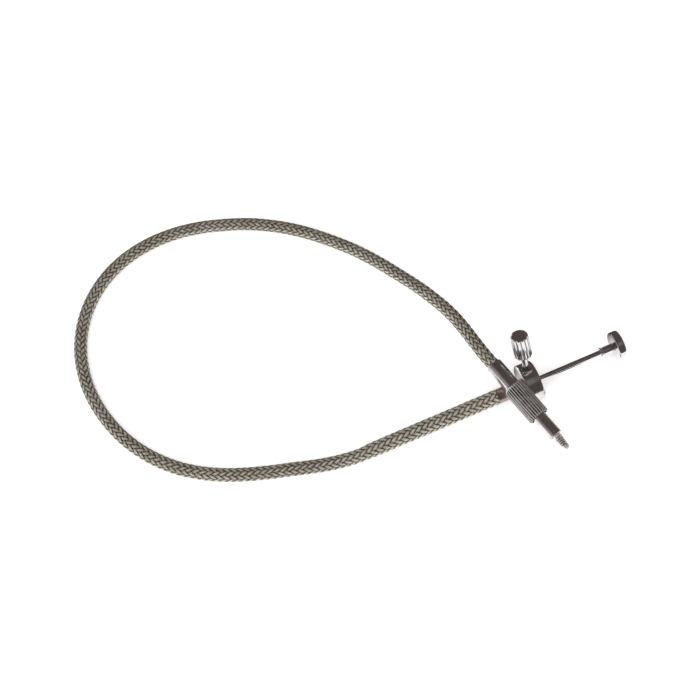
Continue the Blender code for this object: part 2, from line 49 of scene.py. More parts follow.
# Where the pieces' axes lie
HANDLE_ORIGIN = Vector((0.0157, 0.0090, 0.0081252))
HANDLE_AXIS = Vector((0.997564, 0.0, 0.069756))
LOCK_ORIGIN = Vector((0.0127073, 0.0090, 0.007916))
LOCK_AXIS = Vector((-0.062153, 0.453991, 0.888836))
TIP_ORIGIN = Vector((0.0014628, 0.0178909, 0.0160942))
TIP_AXIS = Vector((0.268664, -0.962246, -0.043619))
HANDLE = (HANDLE_ORIGIN, HANDLE_AXIS)
LOCK = (LOCK_ORIGIN, LOCK_AXIS)
TIP = (TIP_ORIGIN, TIP_AXIS)

# The cable: straight over the barrel, then free, then straight into the camera fitting. In
# millimetres along the handle's axis or the fitting's, apart from its diameter and its route
BRAID_START = -16.35
BARREL_MIDDLE = -40.0
BARREL_END = -66.3
STRAIGHT_AT_BARREL = 6.0
STRAIGHT_AT_SLEEVE = 6.0
CABLE_IN_SLEEVE = 4.7
CABLE_ROUTE = [  # metres
    (-0.0644, 0.0100, 0.00278),
    (-0.0724, 0.0118, 0.00258),
    (-0.0801, 0.0139, 0.00252),
    (-0.0875, 0.0159, 0.00252),
    (-0.0952, 0.0183, 0.00252),
    (-0.1031, 0.0214, 0.00252),
    (-0.1113, 0.0258, 0.00252),
    (-0.1193, 0.0319, 0.00252),
    (-0.1266, 0.0402, 0.00252),
    (-0.1324, 0.0504, 0.00252),
    (-0.1361, 0.0624, 0.00252),
    (-0.1371, 0.0755, 0.00252),
    (-0.1347, 0.0888, 0.00252),
    (-0.1287, 0.1009, 0.00252),
    (-0.1197, 0.1106, 0.00252),
    (-0.1087, 0.1172, 0.00252),
    (-0.0970, 0.1205, 0.00252),
    (-0.0857, 0.1211, 0.00252),
    (-0.0752, 0.1197, 0.00252),
    (-0.0659, 0.1171, 0.00252),
    (-0.0574, 0.1139, 0.00253),
    (-0.0498, 0.1099, 0.00257),
    (-0.0428, 0.1052, 0.00275),
    (-0.0364, 0.0997, 0.00322),
    (-0.0305, 0.0933, 0.00428),
    (-0.0247, 0.0860, 0.00575),
    (-0.0193, 0.0774, 0.00770),
    (-0.0141, 0.0674, 0.01010),
    (-0.0085, 0.0555, 0.01282),
    (-0.0035, 0.0414, 0.01504),
]

# The weave: flat strands of fine wires, over two and under two, in millimetres
STRANDS_A_WAY = 10
WEAVE_PITCH = 24.5
WEAVE_STEP = 0.48
STRAND_WIDTH = 1.06
STRAND_THICKNESS = 0.24
WAVE_HEIGHT = 0.26
WIRE_RIDGE = 0.08
STRAND_CROWN = 0.12
WIRES_A_STRAND = 4
RADIUS_OVER_BARREL = 2.92
RADIUS_AT_HANDLE = 2.66
RADIUS_AT_SLEEVE = 2.48
LINE_STEP = 0.5
CORE_STEP = 1.5
CORE_SIDES = 24
CORE_GAP = 0.1

# Fluted and threaded pieces, in millimetres
COLLAR_START = 10.8
COLLAR_END = 25.5
COLLAR_RADIUS = 4.05
COLLAR_BORE = 2.28
COLLAR_RECESS = 3.15
COLLAR_FLUTES = 26
COLLAR_DEPTH = 0.46
KNOB_FOOT = 14.2
KNOB_LENGTH = 10.1
KNOB_RADIUS = 3.3
KNOB_FLUTES = 12
KNOB_DEPTH = 0.30
FLUTE_POINTS = 16
NECK_START = 34.4
NECK_RADIUS = 1.31
TIP_BORE = 0.83
CONE_ROOT_RADIUS = 1.88
CONE_END_RADIUS = 1.38
CONE_LENGTH = 4.7
THREAD_PITCH = 0.8
THREAD_DEPTH = 0.34
THREAD_SIDES = 72
THREAD_STATIONS = 160

# The plain turned pieces, in millimetres. GRIP is a bore that holds a rod or a tube.
FLANGE_RADIUS = 7.75
FLANGE_THICKNESS = 6.0
FLANGE_CORNER = 0.35
BARREL_GRIP = 2.14
FERRULE_RADIUS = 2.8
FERRULE_SEAT = 2.84
GUIDE_BORE = 1.08
GUIDE_RADIUS = 1.41
GUIDE_LIP_RADIUS = 1.9
PAD_HOLE = 0.98
SCREW_HOLE = 1.28
BUTTON_REAR = 31.2
BUTTON_FACE = 34.3
BUTTON_RADIUS = 5.55
BUTTON_DISH_RADIUS = 3.9
BOSS_RIM_RADIUS = 1.8
BOSS_GROOVE_RADIUS = 1.35
BOSS_RADIUS = 1.6
ROD_RADIUS = 1.0
ROD_GRIP = 1.04
ROD_START = -8.6
ROD_END = 32.7
PIN_RADIUS = 0.75
PIN_START = 15.4
PIN_END = 37.7
SCREW_RADIUS = 1.2
SCREW_START = 3.4
SCREW_END = 20.2
SLEEVE_RADIUS = 3.05
CABLE_SEAT = 2.55
JOURNAL_RADIUS = 2.2
CASING_SEAT = 1.45
NOSE_RADIUS = 2.6
NOSE_HUB_RADIUS = 3.11
NOSE_BORE = 1.75
NOSE_RECESS_RADIUS = 1.95
NECK_SEAT = 1.35

# The photograph's camera
FOCAL_PIXELS = 1600.0
FRAME_PIXELS = 700.0
SENSOR = 36.0
CAMERA_HEADING = (0.3912, 0.9203)
CAMERA_DOWN = radians(66)
CAMERA_DISTANCE = 0.602
LOOK_AT = Vector((-0.04147, 0.05025, 0.0))


def place_camera():
    heading = Vector((*CAMERA_HEADING, 0)).normalized()
    forward = heading * cos(CAMERA_DOWN) - Vector((0, 0, sin(CAMERA_DOWN)))
    right = Vector((heading.y, -heading.x, 0))
    up = right.cross(forward)
    data = bpy.data.cameras.new("camera")
    data.sensor_width = SENSOR
    data.lens = FOCAL_PIXELS * SENSOR / FRAME_PIXELS
    data.clip_start = 0.01
    data.clip_end = 20
    camera = bpy.data.objects.new("camera", data)
    bpy.context.scene.collection.objects.link(camera)
    turn = Matrix((right, up, -forward)).transposed().to_4x4()
    camera.matrix_world = Matrix.Translation(LOOK_AT - forward * CAMERA_DISTANCE) @ turn
    bpy.context.scene.camera = camera


def add_mesh(name, points, faces, material):
    mesh = bpy.data.meshes.new(name)
    mesh.from_pydata([tuple(p) for p in points], [], faces)
    mesh.materials.append(material)
    mesh.shade_smooth()
    obj = bpy.data.objects.new(name, mesh)
    bpy.context.scene.collection.objects.link(obj)
    return obj


# ---------------------------------------------------------------- materials

# How fine the noise is, per metre
FINE_MARKS = 14000
COARSE_MARKS = 3500
METAL_CLOUDS = 260
WEAVE_CLOUDS = 160
SPECKS = 2600
CORE_SPECKS = 900

# How far tarnish, pits and dirt go
CLOUD_TARNISH = 0.5
PIT_TARNISH = 0.35
TARNISH_ROUGHNESS = 0.16
GRIME_ROUGHNESS = 0.3
MARK_STRENGTH = 0.25
PIT_STRENGTH = 0.08

# The wire is bright where the weave's crowns carry a painted highlight, and dark where painted
# shade falls between and under the strands.
WIRE_BRIGHT = (0.97, 0.92, 0.80, 1)
WIRE_YELLOWED = (0.82, 0.76, 0.62, 1)
WIRE_SHADE = (0.042, 0.035, 0.025, 1)
RUBBER_DARK = (0.012, 0.011, 0.010, 1)
RUBBER_PALE = (0.035, 0.031, 0.026, 1)


class Nodes:
    """A node tree, with short calls for the nodes used here."""

    def __init__(self, tree, place):
        self.tree = tree
        self.place = self.add("ShaderNodeTexCoord").outputs[place]

    def add(self, kind, **settings):
        node = self.tree.nodes.new(kind)
        for key, value in settings.items():
            setattr(node, key, value)
        return node

    def wire(self, value, socket):
        if isinstance(value, bpy.types.NodeSocket):
            self.tree.links.new(value, socket)
        else:
            socket.default_value = value

    def math(self, operation, a, b=0.0, clamp=False):
        node = self.add("ShaderNodeMath", operation=operation, use_clamp=clamp)
        self.wire(a, node.inputs[0])
        self.wire(b, node.inputs[1])
        return node.outputs[0]

    def vector(self, operation, a, b=(0, 0, 0), out="Vector"):
        node = self.add("ShaderNodeVectorMath", operation=operation)
        self.wire(a, node.inputs[0])
        self.wire(b, node.inputs[1])
        return node.outputs[out]

    def spread(self, value, low, high, to_low=0.0, to_high=1.0):
        node = self.add("ShaderNodeMapRange", interpolation_type="SMOOTHSTEP")
        self.wire(value, node.inputs["Value"])
        self.wire(low, node.inputs["From Min"])
        self.wire(high, node.inputs["From Max"])
        self.wire(to_low, node.inputs["To Min"])
        self.wire(to_high, node.inputs["To Max"])
        return node.outputs["Result"]

    def noise(self, scale, detail=3.0, rough=0.5, along=None):
        """Noise in space, or along one value where that is given."""
        node = self.add("ShaderNodeTexNoise")
        if along is None:
            self.wire(self.place, node.inputs["Vector"])
        else:
            node.noise_dimensions = "1D"
            self.wire(along, node.inputs["W"])
        node.inputs["Scale"].default_value = scale
        node.inputs["Detail"].default_value = detail
        node.inputs["Roughness"].default_value = rough
        return node.outputs["Fac"]

    def mix(self, share, a, b):
        node = self.add("ShaderNodeMix", data_type="RGBA")
        self.wire(share, node.inputs["Factor"])
        self.wire(a, node.inputs["A"])
        self.wire(b, node.inputs["B"])
        return node.outputs["Result"]

    def bump(self, height, strength, distance, normal=None):
        node = self.add("ShaderNodeBump")
        node.inputs["Strength"].default_value = strength
        node.inputs["Distance"].default_value = distance
        self.wire(height, node.inputs["Height"])
        if normal is not None:
            self.wire(normal, node.inputs["Normal"])
        return node.outputs["Normal"]

    def about(self, origin, axis):
        """Distance along an axis and distance from it, in metres."""
        offset = self.vector("SUBTRACT", self.place, tuple(origin))
        along = self.vector("DOT_PRODUCT", offset, tuple(axis), out="Value")
        across = self.vector("CROSS_PRODUCT", offset, tuple(axis))
        return along, self.vector("LENGTH", across, out="Value")


def new_material(name):
    material = bpy.data.materials.new(name)
    material.use_nodes = True
    n = Nodes(material.node_tree, "Object")
    n.material = material
    n.shader = n.tree.nodes["Principled BSDF"]
    return n


def turned_metal(name, axis, clean, dull, rough, grime_and_shade, wear_and_highlight):
    """Plated or bare metal off a lathe: fine turning marks round its axis, cloudy tarnish and
    small pits. rough is the range of its roughness. The next argument gives the depths at which
    dirt and painted shade in the grooves begin and are full, and their colour. The last gives the
    depth down to which crests are worn matt and carry a painted highlight, how metallic they
    stay there, and their colour. Depths are in millimetres below the crests."""
    n = new_material(name)
    n.shader.inputs["Metallic"].default_value = 1.0
    along, radius = n.about(*axis)
    turned = n.math("ADD", along, radius)
    fine = n.noise(FINE_MARKS, 4, 0.6, turned)
    coarse = n.noise(COARSE_MARKS, 3, 0.6, turned)
    clouds = n.noise(METAL_CLOUDS, 5, 0.62)
    specks = n.noise(SPECKS, 4, 0.7)
    tarnish = n.spread(clouds, 0.42, 0.75)
    tarnish = n.math("MULTIPLY", tarnish, CLOUD_TARNISH)
    pits = n.spread(specks, 0.62, 0.74, 0.0, PIT_TARNISH)
    tarnish = n.math("ADD", tarnish, pits, clamp=True)
    colour = n.mix(tarnish, (*clean, 1), (*dull, 1))
    uneven = n.math("MULTIPLY", tarnish, TARNISH_ROUGHNESS)
    streaks = n.spread(coarse, 0.3, 0.7, *rough)
    roughness = n.math("ADD", streaks, uneven)
    # Dirt and painted shade, darker where the groove value is deep.
    if grime_and_shade:
        shallow, deep, dark = grime_and_shade
        groove = n.add("ShaderNodeAttribute", attribute_name="groove").outputs["Fac"]
        dirt_and_shade = n.spread(groove, shallow, deep)
        patchy = n.spread(clouds, 0.3, 0.6, 0.55, 1.0)
        dirt_and_shade = n.math("MULTIPLY", dirt_and_shade, patchy)
        colour = n.mix(dirt_and_shade, colour, (*dark, 1))
        rougher = n.math("MULTIPLY", dirt_and_shade, GRIME_ROUGHNESS)
        roughness = n.math("ADD", roughness, rougher, clamp=True)
        # Crests worn matt and pale: wear and a painted highlight.
        if wear_and_highlight:
            crest, metallic, pale = wear_and_highlight
            colour = n.mix(n.spread(groove, crest / 2, crest), (*pale, 1), colour)
            shine = n.spread(groove, crest / 2, crest, metallic, 1.0)
            n.wire(shine, n.shader.inputs["Metallic"])
    n.wire(colour, n.shader.inputs["Base Color"])
    n.wire(roughness, n.shader.inputs["Roughness"])
    normal = n.bump(fine, MARK_STRENGTH, 1e-6)
    normal = n.bump(specks, PIT_STRENGTH, 4e-6, normal)
    n.wire(normal, n.shader.inputs["Normal"])
    return n.material


def woven_metal(name):
    """Fine wire, with a painted highlight on the crowns of the weave and painted shade between the
    strands.
    """
    n = new_material(name)
    n.shader.inputs["Metallic"].default_value = 0.6
    crown = n.add("ShaderNodeAttribute", attribute_name="crown").outputs["Fac"]
    clouds = n.noise(WEAVE_CLOUDS, 5, 0.6)
    specks = n.noise(SPECKS, 3, 0.6)
    grain = n.math("MULTIPLY", n.spread(specks, 0.3, 0.7), 0.5)
    # Painted highlight on the crowns, with some grain, and painted shade where the crown is low.
    wear_and_highlight = n.math("ADD", crown, grain)
    wear_and_highlight = n.math("SUBTRACT", wear_and_highlight, 0.25, clamp=True)
    bright = n.mix(n.spread(clouds, 0.4, 0.62), WIRE_BRIGHT, WIRE_YELLOWED)
    colour = n.mix(wear_and_highlight, WIRE_SHADE, bright)
    n.wire(colour, n.shader.inputs["Base Color"])
    n.wire(n.spread(wear_and_highlight, 0.0, 1.0, 0.6, 0.28), n.shader.inputs["Roughness"])
    n.wire(n.bump(specks, 0.3, 2e-5), n.shader.inputs["Normal"])
    return n.material


def old_rubber(name):
    """The dark core that shows between the strands."""
    n = new_material(name)
    specks = n.noise(CORE_SPECKS, 4, 0.6)
    colour = n.mix(specks, RUBBER_DARK, RUBBER_PALE)
    n.wire(colour, n.shader.inputs["Base Color"])
    n.wire(n.spread(specks, 0.3, 0.7, 0.7, 0.9), n.shader.inputs["Roughness"])
    n.wire(n.bump(specks, 0.3, 3e-5), n.shader.inputs["Normal"])
    return n.material


# ---------------------------------------------------------------- the cable


def smooth_line(points, spacing):
    """Evenly spaced points on a smooth curve through the given points."""
    p = np.array([tuple(q) for q in points])
    p = np.vstack([2 * p[0] - p[1], p, 2 * p[-1] - p[-2]])
    t = np.linspace(0, 1, 40, endpoint=False)[:, None]
    pieces = []
    for p0, p1, p2, p3 in zip(p, p[1:], p[2:], p[3:]):
        b = p2 - p0
        c = 2 * p0 - 5 * p1 + 4 * p2 - p3
        d = 3 * p1 - p0 - 3 * p2 + p3
        pieces.append((2 * p1 + b * t + c * t**2 + d * t**3) / 2)
    dense = np.vstack([*pieces, p[-2:-1]])
    reach = np.concatenate([[0], np.cumsum(np.linalg.norm(np.diff(dense, axis=0), axis=1))])
    count = round(reach[-1] / spacing)
    wanted = np.linspace(0, reach[-1], count + 1)
    line = np.stack([np.interp(wanted, reach, dense[:, k]) for k in range(3)], axis=1)
    return line, wanted


def side_vectors(line):
    """Two vectors across the line at each point, carried along it without twist."""
    ahead = np.gradient(line, axis=0)
    ahead /= np.linalg.norm(ahead, axis=1)[:, None]
    side = np.cross(ahead[0], (0, 0, 1.0))
    sides = []
    for direction in ahead:
        side = side - direction * side.dot(direction)
        side = side / np.linalg.norm(side)
        sides.append(side)
    sides = np.array(sides)
    return sides, np.cross(ahead, sides)


def on_surface(table, s, theta, radius):
    """Points at distance s along the cable, angle theta round it and radius from its middle."""
    reach, line, side, rise = table
    s = np.clip(s, 0, reach[-1])

    def read(rows):
        return np.stack([np.interp(s, reach, rows[:, k]) for k in range(3)], axis=-1)

    spoke = read(side) * np.cos(theta)[..., None] + read(rise) * np.sin(theta)[..., None]
    return read(line) + spoke * radius[..., None]


def ease(share):
    share = np.clip(share, 0, 1)
    return share * share * (3 - 2 * share)


def outer_radius(s, barrel):
    """Radius of the braid in metres, at distance s: wide over the barrel, finer at the far end."""
    free = np.clip((s - barrel) / 0.30, 0, 1)
    free = RADIUS_AT_HANDLE + (RADIUS_AT_SLEEVE - RADIUS_AT_HANDLE) * free
    share = ease((s - barrel + 0.002) / 0.006)
    return (RADIUS_OVER_BARREL * (1 - share) + free * share) * MM


def ring_faces(rows, around, start=0):
    """Quads between rings of points, with a cap at each end."""
    faces = []
    for a in range(rows - 1):
        for b in range(around):
            c = (b + 1) % around
            first = start + a * around
            faces.append((first + b, first + c, first + around + c, first + around + b))
    last = start + (rows - 1) * around
    faces.append(tuple(range(start + around - 1, start - 1, -1)))
    faces.append(tuple(range(last, last + around)))
    return faces


def weave_strand(table, barrel, way, index):
    """One flat strand of wires on its helix. Its crown is 1 on top of the weave, where the braid's
    material paints a highlight, and low where it paints shade.
    """
    middle = (RADIUS_AT_HANDLE - WAVE_HEIGHT) * MM
    pitch = WEAVE_PITCH * MM
    lean = atan(tau * middle / pitch)
    half = STRAND_WIDTH / 2 * MM
    spill = 2 * half
    count = round((table[0][-1] + 2 * spill) / (WEAVE_STEP * MM))
    centre = np.linspace(-spill, table[0][-1] + spill, count)[:, None]
    points = 2 * WIRES_A_STRAND + 1
    across = np.linspace(-half, half, points)
    ridge = np.where(np.arange(points) % 2, 1.0, 0.0)
    fall = np.zeros(points)
    across = np.concatenate([across, [half * 0.96, -half * 0.96]])[None, :]
    ridge = np.concatenate([ridge, [0.0, 0.0]])[None, :]
    fall = np.concatenate([fall, [1.0, 1.0]])[None, :]
    s = centre - way * across * sin(lean)
    theta = way * tau * centre / pitch + tau * index / STRANDS_A_WAY + across * cos(lean) / middle
    crossed = STRANDS_A_WAY * (theta / tau + way * s / pitch)
    wave = way * np.cos(pi / 2 * (index + crossed - 0.5))
    radius = outer_radius(s, barrel) - (WAVE_HEIGHT + WIRE_RIDGE) * MM
    radius = radius + wave * WAVE_HEIGHT * MM + ridge * WIRE_RIDGE * MM
    radius = radius - STRAND_CROWN * MM * (across / half) ** 2
    radius = radius - fall * STRAND_THICKNESS * MM
    # The crown is a painted highlight on the top of each float and of each wire. It fades to
    # painted shade where the strand dips, at its edges and on its sides, and is brighter over the
    # barrel.
    crown = ease((wave + 0.22) / 0.95) * (0.55 + 0.45 * ridge) * (1 - fall)
    crown = crown * (1 - 0.8 * np.abs(across / half) ** 3)
    crown = crown * (1.2 - 0.2 * ease((s - barrel) / 0.02))
    places = on_surface(table, s, theta, radius)
    return places.reshape(-1, 3), crown.reshape(-1), count, across.shape[1]


def weave_cable():
    """The braid from the ferrule to the inside of the camera fitting, and its dark core."""
    straight = (BRAID_START, BARREL_MIDDLE, BARREL_END + STRAIGHT_AT_BARREL, BARREL_END)
    straight += (BARREL_END - STRAIGHT_AT_BARREL,)
    points = [HANDLE_ORIGIN + HANDLE_AXIS * a * MM for a in straight]
    points += [Vector(p) for p in CABLE_ROUTE]
    points += [TIP_ORIGIN + TIP_AXIS * a * MM for a in (-STRAIGHT_AT_SLEEVE, 0, CABLE_IN_SLEEVE)]
    line, reach = smooth_line(points, LINE_STEP * MM)
    barrel = (BRAID_START - BARREL_END) * MM
    line[:, 2] = np.maximum(line[:, 2], outer_radius(reach, barrel) + 0.01 * MM)
    side, rise = side_vectors(line)
    table = (reach, line, side, rise)

    places, crowns, faces = [], [], []
    total = 0
    for way in (1, -1):
        for index in range(STRANDS_A_WAY):
            strand, crown, rows, around = weave_strand(table, barrel, way, index)
            places.append(strand)
            crowns.append(crown)
            faces += ring_faces(rows, around, total)
            total += len(strand)
    braid = add_mesh("braid", np.vstack(places), faces, woven_metal("braid_wire"))
    layer = braid.data.attributes.new("crown", "FLOAT", "POINT")
    layer.data.foreach_set("value", np.concatenate(crowns).astype(np.float32))

    stations = np.arange(CORE_GAP * MM, reach[-1] - CORE_GAP * MM, CORE_STEP * MM)[:, None]
    angles = np.linspace(0, tau, CORE_SIDES, endpoint=False)[None, :]
    deep = (2 * WAVE_HEIGHT + WIRE_RIDGE + CORE_GAP) * MM
    radius = outer_radius(stations, barrel) - deep + 0 * angles
    core = on_surface(table, stations + 0 * angles, angles + 0 * stations, radius)
    faces = ring_faces(len(stations), CORE_SIDES)
    inside = add_mesh("braid_core", core.reshape(-1, 3), faces, old_rubber("core"))
    inside.parent = braid

    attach(braid, "handle")
    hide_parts("cable_sheath", "sheath_over_barrel")


# ---------------------------------------------------------------- metal pieces


def lathe(name, axis, stations, sides, material, bored=False, sharp=35):
    """A piece round an axis. Each station is (along, radius), in millimetres, and the radius
    is one number or one for each side. A third number makes a station that much deeper in its
    groove value, which some materials darken with dirt and painted shade."""
    origin, ahead = axis
    side = ahead.cross(Vector((0, 0, 1))).normalized()
    if axis is LOCK:
        side = ahead.cross(Vector((1, 0, 0))).normalized()
    rise = ahead.cross(side)
    turn = np.linspace(0, tau, sides, endpoint=False)
    spokes = np.cos(turn)[:, None] * np.array(side) + np.sin(turn)[:, None] * np.array(rise)
    rings, depths = [], []
    for along, radius, *more in stations:
        out = np.broadcast_to(radius, (sides,))[:, None] * spokes
        rings.append(np.array(origin) + (along * np.array(ahead) + out) * MM)
        depths.append(np.max(radius) - np.broadcast_to(radius, (sides,)) + sum(more))
    faces = []
    for a in range(len(rings) - (0 if bored else 1)):
        here, there = a * sides, (a + 1) % len(rings) * sides
        for b in range(sides):
            c = (b + 1) % sides
            faces.append((here + b, here + c, there + c, there + b))
    if not bored:
        faces.append(tuple(range(sides - 1, -1, -1)))
        faces.append(tuple(range((len(rings) - 1) * sides, len(rings) * sides)))
    obj = add_mesh(name, np.vstack(rings), faces, material)
    mesh = obj.data
    layer = mesh.attributes.new("groove", "FLOAT", "POINT")
    layer.data.foreach_set("value", np.concatenate(depths).astype(np.float32))
    bm = bmesh.new()
    bm.from_mesh(mesh)
    bmesh.ops.recalc_face_normals(bm, faces=bm.faces)
    bm.to_mesh(mesh)
    bm.free()
    mesh.shade_smooth()
    mesh.set_sharp_from_angle(angle=radians(sharp))
    return obj


def rounded(corners, size):
    """The polyline through corners, with each inner one turned into a short curve."""
    corners = [np.array(c, float) for c in corners]
    line = [corners[0]]
    for before, corner, after in zip(corners, corners[1:], corners[2:]):
        back, on = np.linalg.norm(before - corner), np.linalg.norm(after - corner)
        reach = min(size, back * 0.45, on * 0.45)
        first = corner + (before - corner) / back * reach
        last = corner + (after - corner) / on * reach
        for t in np.linspace(0, 1, 5):
            line.append(first * (1 - t) ** 2 + 2 * corner * t * (1 - t) + last * t**2)
    return line + [corners[-1]]


def flute(depth, flutes, shape):
    """How far the surface lies in at each side: a greater shape gives wider crests."""
    share = np.arange(flutes * FLUTE_POINTS) / FLUTE_POINTS % 1
    return depth * np.sin(pi * share) ** shape


def vee(depth, flutes, crest):
    """The same for straight-sided grooves, where crest is the share that a crest takes."""
    share = np.arange(flutes * FLUTE_POINTS) / FLUTE_POINTS % 1
    return depth * np.clip((1 - np.abs(2 * share - 1) - crest) / (1 - 1.3 * crest), 0, 1)


def make_collar(material):
    """The fluted collar: narrow crests, straight-sided grooves, plain at both ends."""
    start, end = COLLAR_START, COLLAR_END
    grooves = vee(COLLAR_DEPTH, COLLAR_FLUTES, 0.22)
    # The third numbers darken the ends, the front recess and the bore with dirt and painted shade.
    stations = [
        (start, COLLAR_RADIUS - 0.85, 0.1),
        (start + 0.10, COLLAR_RADIUS - 0.70 - 0.1 * grooves, 0.03),
        (start + 0.40, COLLAR_RADIUS - 0.50 - 0.3 * grooves),
        (start + 0.70, COLLAR_RADIUS - 0.30 - 0.6 * grooves),
        (start + 1.05, COLLAR_RADIUS - 0.08 - 0.9 * grooves),
        (start + 1.35, COLLAR_RADIUS - grooves),
        (end - 0.40, COLLAR_RADIUS - grooves),
        (end - 0.18, COLLAR_RADIUS - 0.06 - 0.94 * grooves),
        (end - 0.05, COLLAR_RADIUS - 0.18 - 0.75 * grooves),
        (end, COLLAR_RADIUS - 0.30 - 0.55 * grooves, 0.05),
        (end, COLLAR_RADIUS - 0.62, 0.2),
        (end, COLLAR_RECESS, 0.2),
        (start + 1.5, COLLAR_RECESS, 0.2),
        (start + 1.5, COLLAR_BORE, 0.2),
        (start, COLLAR_BORE, 0.2),
    ]
    sides = COLLAR_FLUTES * FLUTE_POINTS
    collar = lathe("collar", TIP, stations, sides, material, bored=True, sharp=30)
    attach(collar, "swivel")
    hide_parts("knurled_collar")


def make_knob(material):
    """The fluted knob with a low domed end."""
    foot, top = KNOB_FOOT, KNOB_FOOT + KNOB_LENGTH
    grooves = flute(KNOB_DEPTH, KNOB_FLUTES, 4)
    root = KNOB_RADIUS - KNOB_DEPTH
    stations = [
        (foot + 4.0, 1.24),
        (foot, 1.24),
        (foot, root - 0.1),
        (foot + 0.08, root),
        (foot + 0.25, KNOB_RADIUS - 0.1 - 0.9 * grooves),
        (foot + 0.4, KNOB_RADIUS - grooves),
        (top - 0.85, KNOB_RADIUS - grooves),
        (top - 0.65, KNOB_RADIUS - 0.05 - 0.9 * grooves),
        (top - 0.45, KNOB_RADIUS - 0.18 - 0.6 * grooves),
        (top - 0.3, root - 0.08),
        (top - 0.2, root - 0.3),
        (top - 0.11, root - 0.75),
        (top - 0.05, root - 1.3),
        (top - 0.015, root - 1.9),
        (top, root - 2.45),
    ]
    knob = lathe("knob", LOCK, stations, KNOB_FLUTES * FLUTE_POINTS, material, sharp=50)
    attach(knob, "thumbscrew")
    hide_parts("lock_knob")


def make_plain(name, node, body, axis, corners, material, size=0.15, sides=96, bored=True):
    """A turned piece with its corners rounded. corners goes round its half section, or from
    one end to the other where the piece isn't bored."""
    if bored:
        start = (np.array(corners[0], float) + np.array(corners[-1], float)) / 2
        stations = rounded([start, *corners, start], size)[:-1]
    else:
        stations = rounded(corners, size)
    stations = [tuple(point) for point in stations]
    obj = lathe(name, axis, stations, sides, material, bored=bored, sharp=40)
    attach(obj, body)
    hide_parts(node)
    return obj


def cut_round(piece, axis, stations):
    """Cuts a turned form out of a piece for good."""
    cutter = lathe("cutter", axis, stations, 64, piece.data.materials[0])
    boolean = piece.modifiers.new("cut", "BOOLEAN")
    boolean.operation = "DIFFERENCE"
    boolean.solver = "EXACT"
    boolean.object = cutter
    bpy.context.view_layer.update()
    seen = piece.evaluated_get(bpy.context.evaluated_depsgraph_get())
    mesh = bpy.data.meshes.new_from_object(seen)
    piece.modifiers.clear()
    bpy.data.objects.remove(cutter, do_unlink=True)
    piece.data = mesh
    mesh.shade_smooth()
    mesh.set_sharp_from_angle(angle=radians(40))


